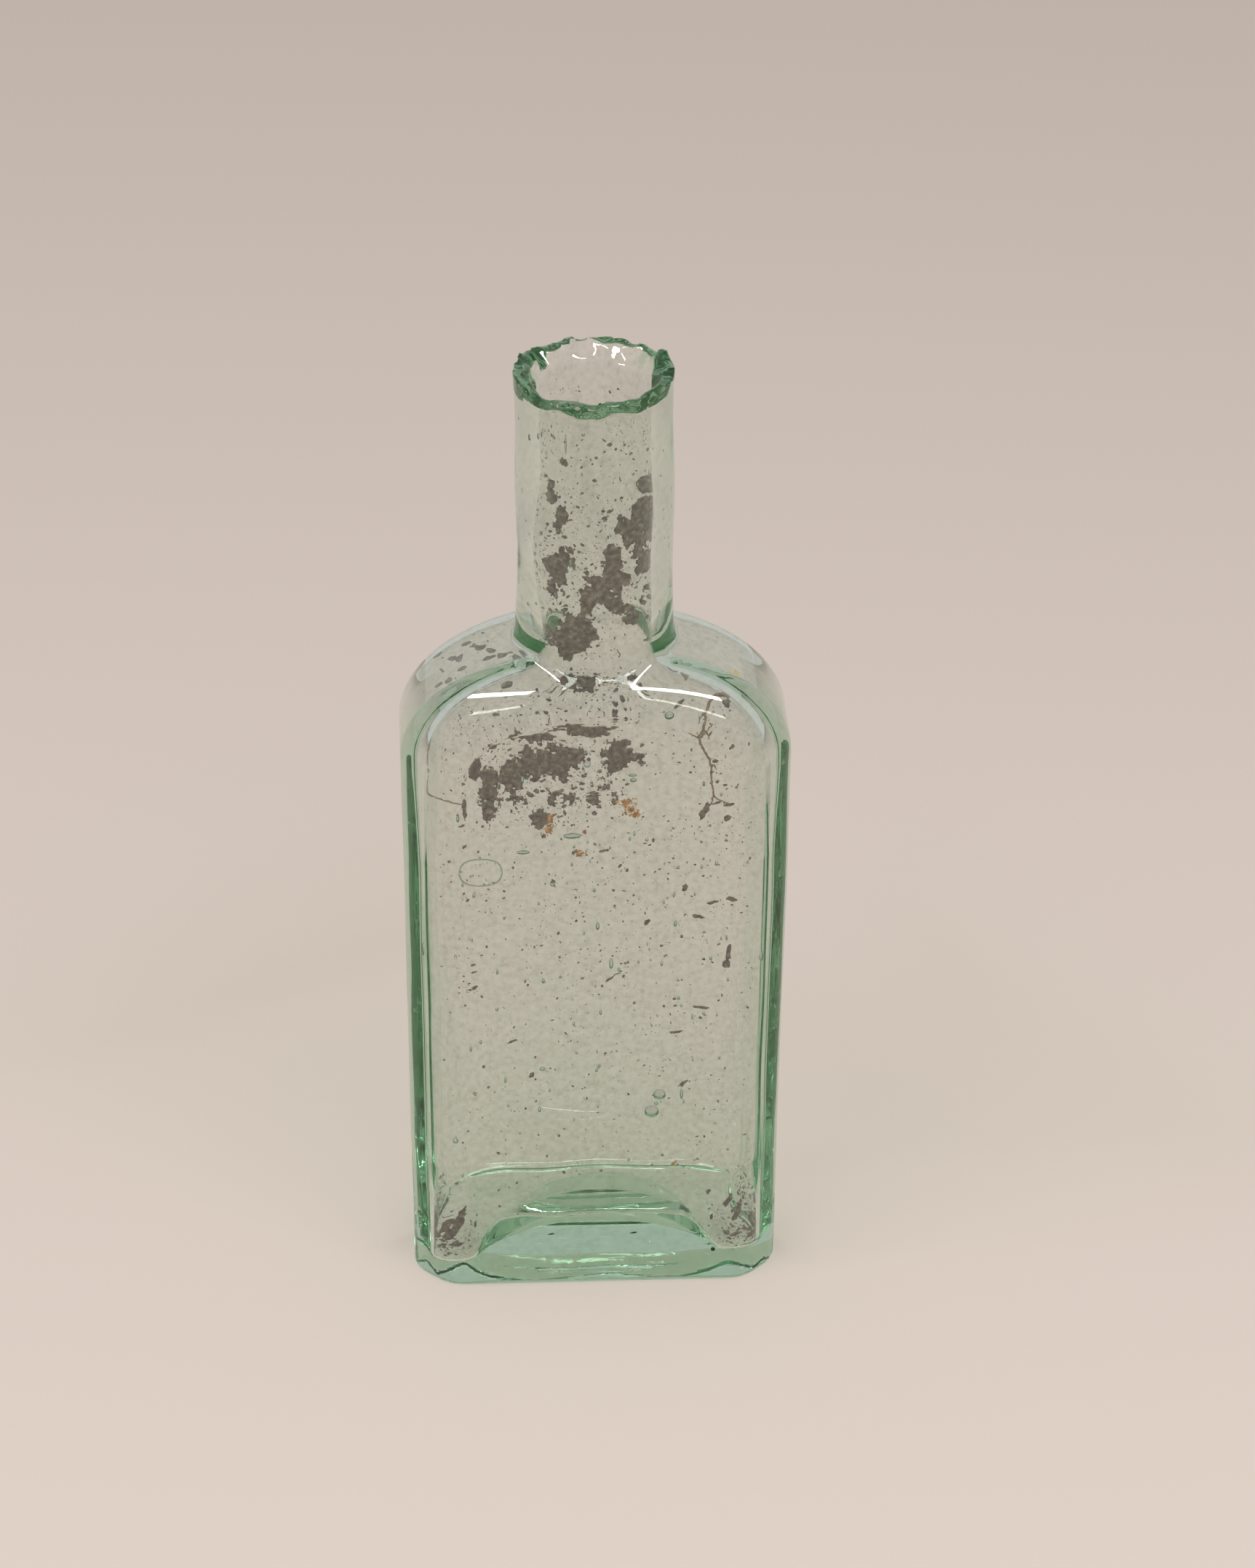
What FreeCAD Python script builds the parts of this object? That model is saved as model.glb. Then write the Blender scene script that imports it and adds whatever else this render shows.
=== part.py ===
import FreeCAD, Part
import math
import os
import random

Vector = FreeCAD.Vector

# ---------------------------------------------------------------------------
# Driving dimensions, in millimetres.
# X is the width, Y the depth with the front at -Y, Z is up from the table.
# ---------------------------------------------------------------------------
SHOULDER_WIDTH = 45.0       # body width where the straight sides end
FOOT_WIDTH = 43.3           # body width at the table
DEPTH = 21.7                # front face to back face
SIDE_HEIGHT = 70.0          # height of the straight sides
ARCH_RISE = 14.2            # how far the arched shoulder rises above the sides
BEVEL = 4.2                 # flat bevel round the front and back faces
HEEL_RADIUS = 0.7           # rounding of the bottom edge

RIM_HEIGHT = 116.4          # top of the broken lip
NECK_RADIUS = 8.95          # outside of the neck
NECK_ROOT_HEIGHT = 60.0     # where the neck's cylinder starts, inside the body

SEAT_RADIUS = 6.4           # cork seat, at the top of the bore
SEAT_LENGTH = 10.0
BORE_RADIUS = 6.65          # bore below the seat
BORE_ROOT_HEIGHT = 76.0     # where the bore opens into the hollow

SIDE_WALL = 2.7             # glass thickness at the sides
FACE_WALL = 2.1             # glass thickness at the front and back
HOLLOW_ROUNDING = 4.5       # rounding between the hollow's faces and its sides
FLOOR_HEIGHT = 4.2          # floor of the hollow along the back
DIP_HEIGHT = 2.0            # floor of the hollow near the left and right ends
DIP_OFFSET = 16.6           # distance of each dip from the middle
SHELF_HEIGHT = 8.7          # thick shelf of glass inside, along the front wall
SHELF_CROWN = 2.0           # how much higher the shelf is at its back edge
SHELF_HALF_WIDTH = 13.1
SHELF_DEPTH = 9.8           # from the front face to the shelf's back edge
SHELF_RISE_DEPTH = 7.2      # from the front face to where the shelf stops rising

RECESS_HALF_WIDTH = 14.0    # slight oval hollow under the base
RECESS_HALF_DEPTH = 6.5
RECESS_HEIGHT = 0.3

DIRT_GAP = 0.03             # room between the glass and what is stuck on it
CRUST_THICKNESS = 0.25
FLECK_THICKNESS = 0.18
STAIN_THICKNESS = 0.08
PATCH_POINTS = 9            # points round a patch of dirt, at uneven distances
PATCH_REACH = (0.72, 1.12)
ROOTLET_RADIUS = 0.14
TWIG_RADIUS = 0.084
FIBRE_RADIUS = 0.09
BEND_SHARE = 0.45           # share of the shorter run that a bend in a strand takes up

CUT_OVERRUN = 2.0           # how far a cutting shape passes the surface that it cuts
SEAT_OVERLAP = 0.5          # how far the seat's cut runs down into the wider bore

# Shell-like chips broken out of the lip: direction seen from above in degrees,
# radius of the chip's scoop, and how deep it bites.
LIP_CHIPS = [
    (-118, 6.0, 0.9),
    (-72, 7.5, 0.7),
    (-25, 5.0, 1.0),
    (48, 4.0, 0.8),
    (100, 6.5, 0.5),
    (160, 5.0, 0.9),
]


def arch_wire(half_foot, half_top, foot_height, rise, depth):
    """Outline of the bottle's face: a foot, two sides and an elliptic arch."""
    centre = Vector(0, depth, SIDE_HEIGHT)
    right_end = Vector(half_top, depth, SIDE_HEIGHT)
    left_end = Vector(-half_top, depth, SIDE_HEIGHT)
    ellipse = Part.Ellipse(right_end, centre + Vector(0, 0, rise), centre)
    arch = Part.ArcOfEllipse(ellipse, 0, math.pi).toShape()
    left_foot = Vector(-half_foot, depth, foot_height)
    right_foot = Vector(half_foot, depth, foot_height)
    sides = [
        Part.makeLine(left_end, left_foot),
        Part.makeLine(left_foot, right_foot),
        Part.makeLine(right_foot, right_end),
    ]
    return Part.Wire([arch] + sides)


def make_body():
    """The outside of the body: the face outline, bevelled front and back."""
    half_depth = DEPTH / 2
    stations = [
        (-half_depth, BEVEL),
        (-half_depth + BEVEL, 0),
        (half_depth - BEVEL, 0),
        (half_depth, BEVEL),
    ]
    wires = []
    for depth, inset in stations:
        wires.append(
            arch_wire(FOOT_WIDTH / 2 - inset, SHOULDER_WIDTH / 2 - inset, 0, ARCH_RISE - inset, depth)
        )
    return Part.makeLoft(wires, True, True)


def neck_cylinder(radius, bottom, top):
    """A cylinder on the neck's axis."""
    return Part.makeCylinder(radius, top - bottom, Vector(0, 0, bottom))


def make_floor_outline(half_width, lift):
    """Points along the hollow's floor, left to right: dip, level middle, dip."""
    dip = DIP_HEIGHT + lift
    level = FLOOR_HEIGHT + lift
    corner = dip + 1.6
    return [
        Vector(-half_width, 0, corner),
        Vector(-DIP_OFFSET - 1.4, 0, dip + 0.1),
        Vector(-DIP_OFFSET, 0, dip),
        Vector(-12.0, 0, dip + 0.8 * (level - dip)),
        Vector(-6.0, 0, level),
        Vector(6.0, 0, level),
        Vector(12.0, 0, dip + 0.8 * (level - dip)),
        Vector(DIP_OFFSET, 0, dip),
        Vector(DIP_OFFSET + 1.4, 0, dip + 0.1),
        Vector(half_width, 0, corner),
    ]


def make_shelf(lift):
    """The shelf of glass at the front of the hollow, grown all round by the lift."""
    front = -DEPTH / 2
    back_edge = front + SHELF_DEPTH + lift
    crest = SHELF_HEIGHT + SHELF_CROWN + lift
    reach = SHELF_HALF_WIDTH + lift
    corners = [
        (front, 0),
        (front, SHELF_HEIGHT + lift),
        (front + FACE_WALL, SHELF_HEIGHT + lift),
        (front + SHELF_RISE_DEPTH, crest),
        (back_edge, crest),
        (back_edge, 0),
    ]
    profile = [Vector(-reach, depth, height) for depth, height in corners]
    wedge = Part.Face(Part.makePolygon(profile + profile[:1])).extrude(Vector(2 * reach, 0, 0))
    outline = Part.Ellipse(Vector(reach, front, 0), Vector(0, back_edge, 0), Vector(0, front, 0))
    plan = Part.Face(Part.Wire([outline.toShape()])).extrude(Vector(0, 0, crest + 1))
    return wedge.common(plan)


def make_hollow(inset):
    """The space inside the body and neck, shrunk all round by the inset."""
    half_width = FOOT_WIDTH / 2 - SIDE_WALL - inset
    half_depth = DEPTH / 2 - FACE_WALL - inset
    rise = ARCH_RISE - SIDE_WALL - inset
    outline = arch_wire(half_width, half_width, 0, rise, -half_depth)
    chamber = Part.Face(outline).extrude(Vector(0, 2 * half_depth, 0))
    long_edges = []
    for edge in chamber.Edges:
        box = edge.BoundBox
        if box.YLength < 0.01 and box.ZLength > 1:
            long_edges.append(edge)
    chamber = chamber.makeFillet(HOLLOW_ROUNDING - inset, long_edges)

    floor_points = make_floor_outline(half_width + 1, inset)
    floor_curve = Part.BSplineCurve()
    floor_curve.interpolate(floor_points)
    left_point = floor_points[0]
    right_point = floor_points[-1]
    right_bottom = Vector(right_point.x, 0, -CUT_OVERRUN)
    left_bottom = Vector(left_point.x, 0, -CUT_OVERRUN)
    floor_wire = Part.Wire([
        floor_curve.toShape(),
        Part.makeLine(right_point, right_bottom),
        Part.makeLine(right_bottom, left_bottom),
        Part.makeLine(left_bottom, left_point),
    ])
    floor_block = Part.Face(floor_wire).extrude(Vector(0, 2 * DEPTH, 0))
    floor_block.translate(Vector(0, -DEPTH, 0))
    chamber = chamber.cut(floor_block).cut(make_shelf(inset))

    bore = neck_cylinder(BORE_RADIUS - inset, BORE_ROOT_HEIGHT, RIM_HEIGHT - SEAT_LENGTH)
    return chamber.fuse(bore)


def make_recess():
    """The slight oval hollow under the base."""
    ball = Part.makeSphere(1)
    stretch = FreeCAD.Matrix()
    stretch.scale(RECESS_HALF_WIDTH, RECESS_HALF_DEPTH, RECESS_HEIGHT)
    return ball.transformGeometry(stretch)


def make_lip_chips():
    """Scoops that break up the top of the lip."""
    middle = (NECK_RADIUS + SEAT_RADIUS) / 2
    chips = []
    for direction, radius, bite in LIP_CHIPS:
        angle = math.radians(direction)
        centre = Vector(
            middle * math.cos(angle),
            middle * math.sin(angle),
            RIM_HEIGHT + radius - bite,
        )
        chips.append(Part.makeSphere(radius, centre))
    return chips


def make_bottle_glass():
    """The one blown piece: body, neck, hollow, base and broken lip."""
    body = make_body()
    foot_edges = []
    for edge in body.Edges:
        if edge.BoundBox.ZMax < 0.01:
            foot_edges.append(edge)
    body = body.makeFillet(HEEL_RADIUS, foot_edges)
    neck = neck_cylinder(NECK_RADIUS, NECK_ROOT_HEIGHT, RIM_HEIGHT)
    glass = body.fuse(neck)
    glass = glass.cut(make_recess())
    glass = glass.cut(make_hollow(0))
    seat_bottom = RIM_HEIGHT - SEAT_LENGTH - SEAT_OVERLAP
    glass = glass.cut(neck_cylinder(SEAT_RADIUS, seat_bottom, RIM_HEIGHT + CUT_OVERRUN))
    for chip in make_lip_chips():
        glass = glass.cut(chip)
    return glass.removeSplitter()


def wall_skin(thickness):
    """A thin skin lying just inside the glass, to cut patches from."""
    return make_hollow(DIRT_GAP).cut(make_hollow(DIRT_GAP + thickness))


def blob_column(rng, x, height, half_width, half_height, side):
    """An irregular round outline in the XZ plane, carried from the middle to one side."""
    points = []
    for step in range(PATCH_POINTS):
        angle = 2 * math.pi * step / PATCH_POINTS
        reach = rng.uniform(*PATCH_REACH)
        points.append(Vector(
            x + half_width * reach * math.cos(angle),
            0,
            height + half_height * reach * math.sin(angle),
        ))
    curve = Part.BSplineCurve()
    curve.interpolate(Points=points, PeriodicFlag=True)
    face = Part.Face(Part.Wire([curve.toShape()]))
    return face.extrude(Vector(0, side * DEPTH, 0))


def make_patches(spots, thickness, side, seed):
    """Patches of dirt: each spot is x, height, half width and half height."""
    rng = random.Random(seed)
    skin = wall_skin(thickness)
    solids = []
    for x, height, half_width, half_height in spots:
        patch = skin.common(blob_column(rng, x, height, half_width, half_height, side))
        solids.extend(patch.Solids)
    return Part.makeCompound(solids)


FRONT = -1
BACK = 1

NECK_CRUST_SPOTS = [
    (4.3, 100.6, 1.3, 3.2),
    (1.3, 94.4, 1.7, 2.8),
    (-0.6, 89.6, 1.5, 1.9),
    (-3.7, 94.4, 1.0, 2.3),
    (-3.3, 86.8, 1.6, 1.7),
    (-3.6, 101.0, 0.6, 1.2),
    (3.4, 89.6, 0.8, 1.4),
]

SHOULDER_CRUST_SPOTS = [
    (-11.2, 57.4, 1.1, 3.2),
    (-8.3, 60.0, 1.4, 1.8),
    (-5.0, 61.5, 1.8, 1.9),
    (-1.9, 62.4, 1.1, 1.0),
    (-5.2, 55.0, 1.1, 1.3),
    (0.1, 56.0, 0.8, 0.9),
    (3.6, 62.6, 1.3, 1.5),
    (-6.4, 66.2, 2.0, 0.6),
    (-1.3, 66.6, 2.2, 0.7),
    (-1.8, 72.8, 2.0, 1.5),
    (4.0, 73.6, 1.3, 0.6),
    (-11.8, 64.6, 0.9, 0.9),
]

WALL_FLECK_SPOTS = [
    (10.1, 54.5, 0.40, 0.55),
    (13.0, 52.4, 0.70, 0.26),
    (15.6, 52.9, 0.70, 0.30),
    (15.3, 45.2, 0.36, 1.30),
    (5.8, 49.9, 0.34, 0.46),
    (-5.1, 55.6, 0.36, 0.40),
    (-2.6, 59.5, 0.34, 0.30),
    (0.6, 59.7, 0.44, 0.24),
    (1.7, 42.3, 0.62, 0.32),
    (9.4, 71.4, 0.42, 0.28),
    (10.6, 64.2, 0.42, 0.70),
    (-15.6, 63.6, 0.42, 0.20),
    (-14.3, 42.6, 0.36, 0.62),
    (10.2, 27.4, 0.42, 0.50),
    (-9.9, 33.8, 0.52, 0.26),
]

RUST_GRAIN_SPOTS = [
    (3.2, 65.8, 0.80, 0.42),
    (4.2, 64.5, 0.52, 0.46),
    (-5.5, 64.0, 0.30, 0.84),
    (-5.7, 62.4, 0.26, 0.28),
    (-1.5, 62.3, 0.26, 0.24),
    (9.3, 16.2, 0.34, 0.30),
]

LEFT_SILT_SPOTS = [
    (-17.7, 6.9, 0.70, 1.30),
    (-16.2, 8.4, 0.46, 1.00),
    (-15.6, 5.6, 0.46, 0.60),
]

RIGHT_SILT_SPOTS = [
    (17.4, 9.0, 0.46, 0.80),
    (17.7, 6.0, 0.60, 0.80),
    (15.9, 6.6, 0.50, 0.42),
]

AMBER_STAIN_SPOTS = [
    (15.3, 75.0, 0.80, 0.80),
]


def front_wall_depth(x, height, lift):
    """Depth of the hollow's front surface at a place, moved inwards by the lift."""
    half_width = FOOT_WIDTH / 2 - SIDE_WALL
    rise = ARCH_RISE - SIDE_WALL
    above = max(height - SIDE_HEIGHT, 0)
    reach = math.hypot(x / half_width, above / rise)
    steepness = math.hypot(x / half_width ** 2, above / rise ** 2) / reach
    room = (1 - reach) / steepness
    over = max(HOLLOW_ROUNDING - room, 0)
    radius = HOLLOW_ROUNDING - lift
    return -(DEPTH / 2 - FACE_WALL - HOLLOW_ROUNDING + math.sqrt(radius * radius - over * over))


def strand(route, radius, lift):
    """A thin round strand lying on the hollow's front surface along a route in x and height."""
    points = []
    for x, height in route:
        points.append(Vector(x, front_wall_depth(x, height, lift), height))
    edges = []
    start = points[0]
    for before, corner, after in zip(points, points[1:], points[2:]):
        into = before - corner
        out = after - corner
        turn = math.pi - into.getAngle(out)
        shorter = min(into.Length, out.Length)
        reach = BEND_SHARE * shorter
        arc_radius = reach / math.tan(turn / 2)
        into.normalize()
        out.normalize()
        first = corner + into * reach
        last = corner + out * reach
        bisector = into + out
        bisector.normalize()
        centre = corner + bisector * math.hypot(reach, arc_radius)
        middle = centre - bisector * arc_radius
        edges.append(Part.makeLine(start, first))
        edges.append(Part.Arc(first, middle, last).toShape())
        start = last
    edges.append(Part.makeLine(start, points[-1]))
    path = Part.Wire(edges)
    profile = Part.Wire([Part.makeCircle(radius, points[0], points[1] - points[0])])
    return path.makePipeShell([profile], True, False)


ROOTLET_STEM = [
    (14.3, 74.8),
    (13.1, 75.1),
    (12.1, 74.5),
    (11.6, 73.4),
    (12.3, 71.9),
    (12.8, 70.4),
    (13.0, 68.6),
    (13.2, 66.9),
    (12.8, 65.7),
    (12.1, 64.6),
]

ROOTLET_TWIG = [
    (13.8, 66.5),
    (14.4, 66.2),
    (15.0, 65.9),
]

FIBRE_ROUTE = [
    (-18.2, 68.2),
    (-17.9, 67.4),
    (-17.2, 66.9),
    (-15.7, 66.5),
]


def make_rootlet():
    """The stem of the rootlet and one side twig that stands clear of it."""
    stem = strand(ROOTLET_STEM, ROOTLET_RADIUS, ROOTLET_RADIUS + DIRT_GAP)
    twig = strand(ROOTLET_TWIG, TWIG_RADIUS, ROOTLET_RADIUS + DIRT_GAP)
    return Part.makeCompound(stem.Solids + twig.Solids)


parts = {
    "bottle_glass": make_bottle_glass(),
    "neck_crust": make_patches(NECK_CRUST_SPOTS, CRUST_THICKNESS, FRONT, seed=11),
    "shoulder_crust": make_patches(SHOULDER_CRUST_SPOTS, CRUST_THICKNESS, BACK, seed=12),
    "wall_flecks": make_patches(WALL_FLECK_SPOTS, FLECK_THICKNESS, FRONT, seed=13),
    "rust_grains": make_patches(RUST_GRAIN_SPOTS, FLECK_THICKNESS, FRONT, seed=14),
    "heel_silt_left": make_patches(LEFT_SILT_SPOTS, CRUST_THICKNESS, FRONT, seed=15),
    "heel_silt_right": make_patches(RIGHT_SILT_SPOTS, CRUST_THICKNESS, FRONT, seed=16),
    "rootlet": make_rootlet(),
    "hair_fibre": strand(FIBRE_ROUTE, FIBRE_RADIUS, FIBRE_RADIUS + DIRT_GAP),
    "amber_stain": make_patches(AMBER_STAIN_SPOTS, STAIN_THICKNESS, FRONT, seed=17),
}

os.makedirs("parts", exist_ok=True)
for name, shape in parts.items():
    shape.exportStep("parts/" + name + ".step")
    box = shape.BoundBox
    print(
        name, "solids", len(shape.Solids), "valid", shape.isValid(), "volume", round(shape.Volume, 3),
        "x", round(box.XMin, 2), round(box.XMax, 2),
        "y", round(box.YMin, 2), round(box.YMax, 2),
        "z", round(box.ZMin, 2), round(box.ZMax, 2),
    )
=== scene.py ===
import math

import bmesh
import bpy
import numpy as np
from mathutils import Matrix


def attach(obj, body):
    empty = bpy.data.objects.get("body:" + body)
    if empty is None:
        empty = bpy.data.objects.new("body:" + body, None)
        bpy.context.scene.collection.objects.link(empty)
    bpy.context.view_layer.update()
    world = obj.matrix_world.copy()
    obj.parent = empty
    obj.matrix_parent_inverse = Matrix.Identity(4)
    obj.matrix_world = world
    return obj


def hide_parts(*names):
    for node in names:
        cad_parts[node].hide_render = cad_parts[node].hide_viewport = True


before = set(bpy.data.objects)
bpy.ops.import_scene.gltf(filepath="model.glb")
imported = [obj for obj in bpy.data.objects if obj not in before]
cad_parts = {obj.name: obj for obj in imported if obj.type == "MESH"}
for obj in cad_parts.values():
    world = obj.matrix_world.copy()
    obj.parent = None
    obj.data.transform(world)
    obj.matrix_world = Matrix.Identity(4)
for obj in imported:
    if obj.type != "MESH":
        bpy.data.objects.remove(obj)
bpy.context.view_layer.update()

import openvdb
from mathutils import Matrix, Vector

# --------------------------------------------------
# Sizes in millimetres, in the CAD frame: X width, front at -Y, Z up.
# --------------------------------------------------
HALF_WIDTH = 22.5           # at the top of the straight sides
HALF_DEPTH = 10.85
SIDE_HEIGHT = 70.0
ARCH_RISE = 14.2
FOOT_TAPER = 0.85           # each side comes in this much at the foot
FACE_SINK = 0.55            # how much the big faces sink in halfway up
SINK_TOP = 78.0             # where that sinking ends
BEVEL = 4.0                 # of the upright edges
BEVEL_SOFTNESS = 1.4
EDGE_SOFTNESS = 0.9
ARCH_EDGE_RADIUS = 6.2      # of the edges over the shoulders
ARCH_EDGE_POWER = 1.8       # 2 would be a round edge, 1 a flat one
ARCH_EDGE_START = 62.0      # the upright edges turn into those between here
ARCH_EDGE_SPAN = 12.0       # and this much higher
HEEL_SOFTNESS = 0.7

NECK_RADIUS = 8.95
NECK_START = 60.0           # the neck's foot, hidden in the body
NECK_FILLET = 1.4
BORE_RADIUS = 6.4
RIM_HEIGHT = 117.1
LIP_FLARE = 2.0             # how much the bore opens out towards the rim
FLARE_HEIGHT = 2.9
FLARE_POWER = 1.5
BORE_START = 70.0           # the bore's foot, in the hollow
BORE_FILLET = 3.0
NECK_LEAN = -0.008          # sideways shift per millimetre of height
SHOULDER_TOP = 84.2

SIDE_WALL = 2.7
FACE_WALL = 1.95
CORNER_RADIUS = 4.0         # of the hollow's upright corners
FOOT_CORNER_REACH = 10.0    # how far along the faces they run near the base
FOOT_CORNER_HEIGHT = 16.0   # where that reach ends
CORNER_POWER = 2.1
ROOF_CORNER_RADIUS = (5.2, 3.4)     # of the hollow's front and back corners under the shoulders
ROOF_START = 58.0           # the hollow's corners turn into those between here
ROOF_SPAN = 16.0            # and this much higher
HOLLOW_BOW = -0.7           # change in the front and back walls' thickness towards their sides
HOLLOW_BOW_LIMIT = 1.1      # as a share of the hollow's half width
FLOOR_HEIGHT = 4.2          # glass under the hollow, at the back
LEFT_DIP_HEIGHT = 1.6       # glass under the hollow at its left and right ends
RIGHT_DIP_HEIGHT = 2.8
FLOOR_REACH = 15.0          # how far to either side the full floor reaches
FLOOR_POWER = 6             # how suddenly it drops into the dips
FLOOR_SOFTNESS = 0.9
SHELF_HEIGHT = 8.7          # the thick shelf of glass along the front wall
SHELF_REACH = (-13.6, 12.6)
SHELF_FADE = (2.2, 1.8)     # how gently it ends on the left and right
SHELF_CROWN = 2.5           # how much the shelf rises towards its back edge
CROWN_MIDDLE = 1.5
CROWN_REACH = 17.0
CROWN_FRONT = -8.6          # the rise starts here
CROWN_DEPTH = 5.0           # and is complete this far behind
SHELF_BACK = -0.8           # where the shelf's back edge is at the middle
SHELF_CURVE = 5.5           # how far that edge curves forward at the curve's reach
SHELF_CURVE_MIDDLE = 0.5
SHELF_CURVE_REACH = 12.0
SHELF_EDGE_SOFTNESS = 0.9

RECESS = (14.0, 6.5, 0.25)  # half width, half depth and height of the hollow under the base
RECESS_SOFTNESS = 0.4

RIM_SOFTNESS = 0.35         # where the hollow meets the outside
LIP_TOP = RIM_HEIGHT + 0.05
SCOOP_EVERY = 17.0          # degrees from one chip of the lip to the next
SCOOP_SHIFT = (-6, 6)       # degrees; this and the next three are ranges
SCOOP_RADIUS = (2.2, 6.0)
SCOOP_BITE = (0.20, 0.95)   # how deep it cuts below the rim
SCOOP_RING = (6.6, 8.8)     # how far its middle is from the neck's axis
LIP_SPIKE = (7.5, 3.2)      # where a splinter of the lip still stands
SPIKE_SLOPE = 0.45
SPIKE_POINT = RIM_HEIGHT + 1.9
SPIKE_TOP = RIM_HEIGHT + 1.0
SPIKE_FILLET = 0.3

# Unevenness of the hand-blown surfaces: shortest and longest are wavelengths.
BODY_WAVES = dict(height=0.03, seed=21, shortest=18, longest=55, count=7)
NECK_WAVES = dict(height=0.09, seed=22, shortest=9, longest=30, count=6)
HOLLOW_WAVES = dict(height=0.05, seed=31, shortest=10, longest=34, count=9)
BORE_WAVES = dict(height=0.10, seed=32, shortest=7, longest=26, count=8)
FLARE_WAVES = dict(height=0.30, seed=34, shortest=2.5, longest=5, count=9)
LIP_WAVES = dict(height=0.15, seed=41, shortest=1.3, longest=4.5, count=14)

GRID_PITCH = 0.525          # spacing of the grid that the glass is meshed from
GRID_WIDTH = (-46, 47)      # its first cell and the one past its last; front to back and up below
GRID_DEPTH = (-24, 25)
GRID_HEIGHT = (-3, 227)
FAR_OUTSIDE = 3.0           # the field's value away from the grid
DIRT_GAP = 0.03             # room between the glass and what sticks to it
WALL_START = 8.4            # depth from which a place is moved onto the front or back wall


# --------------------------------------------------
# Small tools
# --------------------------------------------------
TINY = 1e-9                 # keeps a divisor above zero
CLOUD_CELLS = 128           # the patchy noise repeats after so many of its largest patches


def smooth_max(a, b, k):
    """The larger of two fields, blended over a band of width k."""
    h = np.clip(0.5 + 0.5 * (a - b) / k, 0.0, 1.0)
    return b * (1 - h) + a * h + k * h * (1 - h)


def smooth_min(a, b, k):
    """The smaller of two fields, blended over a band of width k."""
    return -smooth_max(-a, -b, k)


def rounded_meeting(a, b, radius_a, radius_b, power):
    """Where two walls meet, their edge is rounded off, starting this far along each wall."""
    u = np.maximum(a / radius_a + 1, 0)
    v = np.maximum(b / radius_b + 1, 0)
    reach = (u ** power + v ** power) ** (1 / power) + TINY
    slope = np.hypot((u / reach) ** (power - 1) / radius_a, (v / reach) ** (power - 1) / radius_b) + 1e-3
    deep = np.minimum(np.maximum(a + radius_a, b + radius_b), 0)
    return np.where(reach > 1e-6, (reach - 1) / slope, -radius_b) + deep


def cloud(u, v, seed, size):
    """Patchy noise over a plane, its largest patches about the given size."""
    table = np.random.default_rng(seed).uniform(-1, 1, (CLOUD_CELLS, CLOUD_CELLS))
    total = np.zeros(np.shape(u))
    strength = 1.0
    for octave in range(4):
        a = u / size + 17.3 * octave
        b = v / size + 9.1 * octave
        i = np.floor(a).astype(int)
        j = np.floor(b).astype(int)
        s = (a - i) ** 2 * (3 - 2 * (a - i))
        t = (b - j) ** 2 * (3 - 2 * (b - j))
        left, right = i % CLOUD_CELLS, (i + 1) % CLOUD_CELLS
        low, high = j % CLOUD_CELLS, (j + 1) % CLOUD_CELLS
        near = table[left, low] * (1 - s) + table[right, low] * s
        far = table[left, high] * (1 - s) + table[right, high] * s
        total += strength * (near * (1 - t) + far * t)
        strength *= 0.75
        size *= 0.5
    return total


def waves(x, y, z, height, seed, shortest, longest, count):
    """A smooth random field of about the given height, made of plane waves."""
    rng = np.random.default_rng(seed)
    total = np.zeros(np.broadcast(x, y, z).shape)
    for _ in range(count):
        direction = rng.normal(size=3)
        direction /= np.linalg.norm(direction)
        number = 2 * math.pi / rng.uniform(shortest, longest)
        phase = rng.uniform(0, 2 * math.pi)
        total += np.sin(number * (direction[0] * x + direction[1] * y + direction[2] * z) + phase)
    return height * (total / math.sqrt(count / 2))


# --------------------------------------------------
# The glass as a distance field, negative inside the glass
# --------------------------------------------------
def arch_field(x, z):
    """Distance outside the bottle's face outline."""
    taper = FOOT_TAPER * np.clip(1 - z / SIDE_HEIGHT, 0, 1)
    side = np.abs(x) - (HALF_WIDTH - taper)
    above = np.maximum(z - SIDE_HEIGHT, 0)
    reach = np.sqrt((x / HALF_WIDTH) ** 2 + (above / ARCH_RISE) ** 2) + TINY
    slope = np.sqrt((x / HALF_WIDTH ** 2) ** 2 + (above / ARCH_RISE ** 2) ** 2) / reach + TINY
    return np.where(z < SIDE_HEIGHT, side, (reach - 1) / slope)


def neck_distance(x, y, z):
    """Distance from the neck's leaning axis."""
    return np.hypot(x - NECK_LEAN * (z - SHOULDER_TOP), y)


def half_depth(z):
    """Half the bottle's depth: its big faces are slightly sunken halfway up."""
    return HALF_DEPTH - FACE_SINK * np.sin(math.pi * np.clip(z / SINK_TOP, 0, 1))


def outside_field(x, y, z):
    """The outside of the body and neck, before the lip is broken."""
    outline = arch_field(x, z)
    face = np.abs(y) - half_depth(z)
    bevel = (outline + face + BEVEL) / math.sqrt(2)
    upright = smooth_max(smooth_max(outline, face, EDGE_SOFTNESS), bevel, BEVEL_SOFTNESS)
    arched = rounded_meeting(outline, face, ARCH_EDGE_RADIUS, ARCH_EDGE_RADIUS, ARCH_EDGE_POWER)
    share = np.clip((z - ARCH_EDGE_START) / ARCH_EDGE_SPAN, 0, 1)
    body = upright + (arched - upright) * share
    body = body + waves(x, y, z, **BODY_WAVES)
    neck = neck_distance(x, y, z) - NECK_RADIUS
    neck = neck + waves(x, y, z, **NECK_WAVES)
    neck = np.maximum(neck, NECK_START - z)
    return smooth_max(smooth_min(body, neck, NECK_FILLET), -z, HEEL_SOFTNESS)


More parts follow.
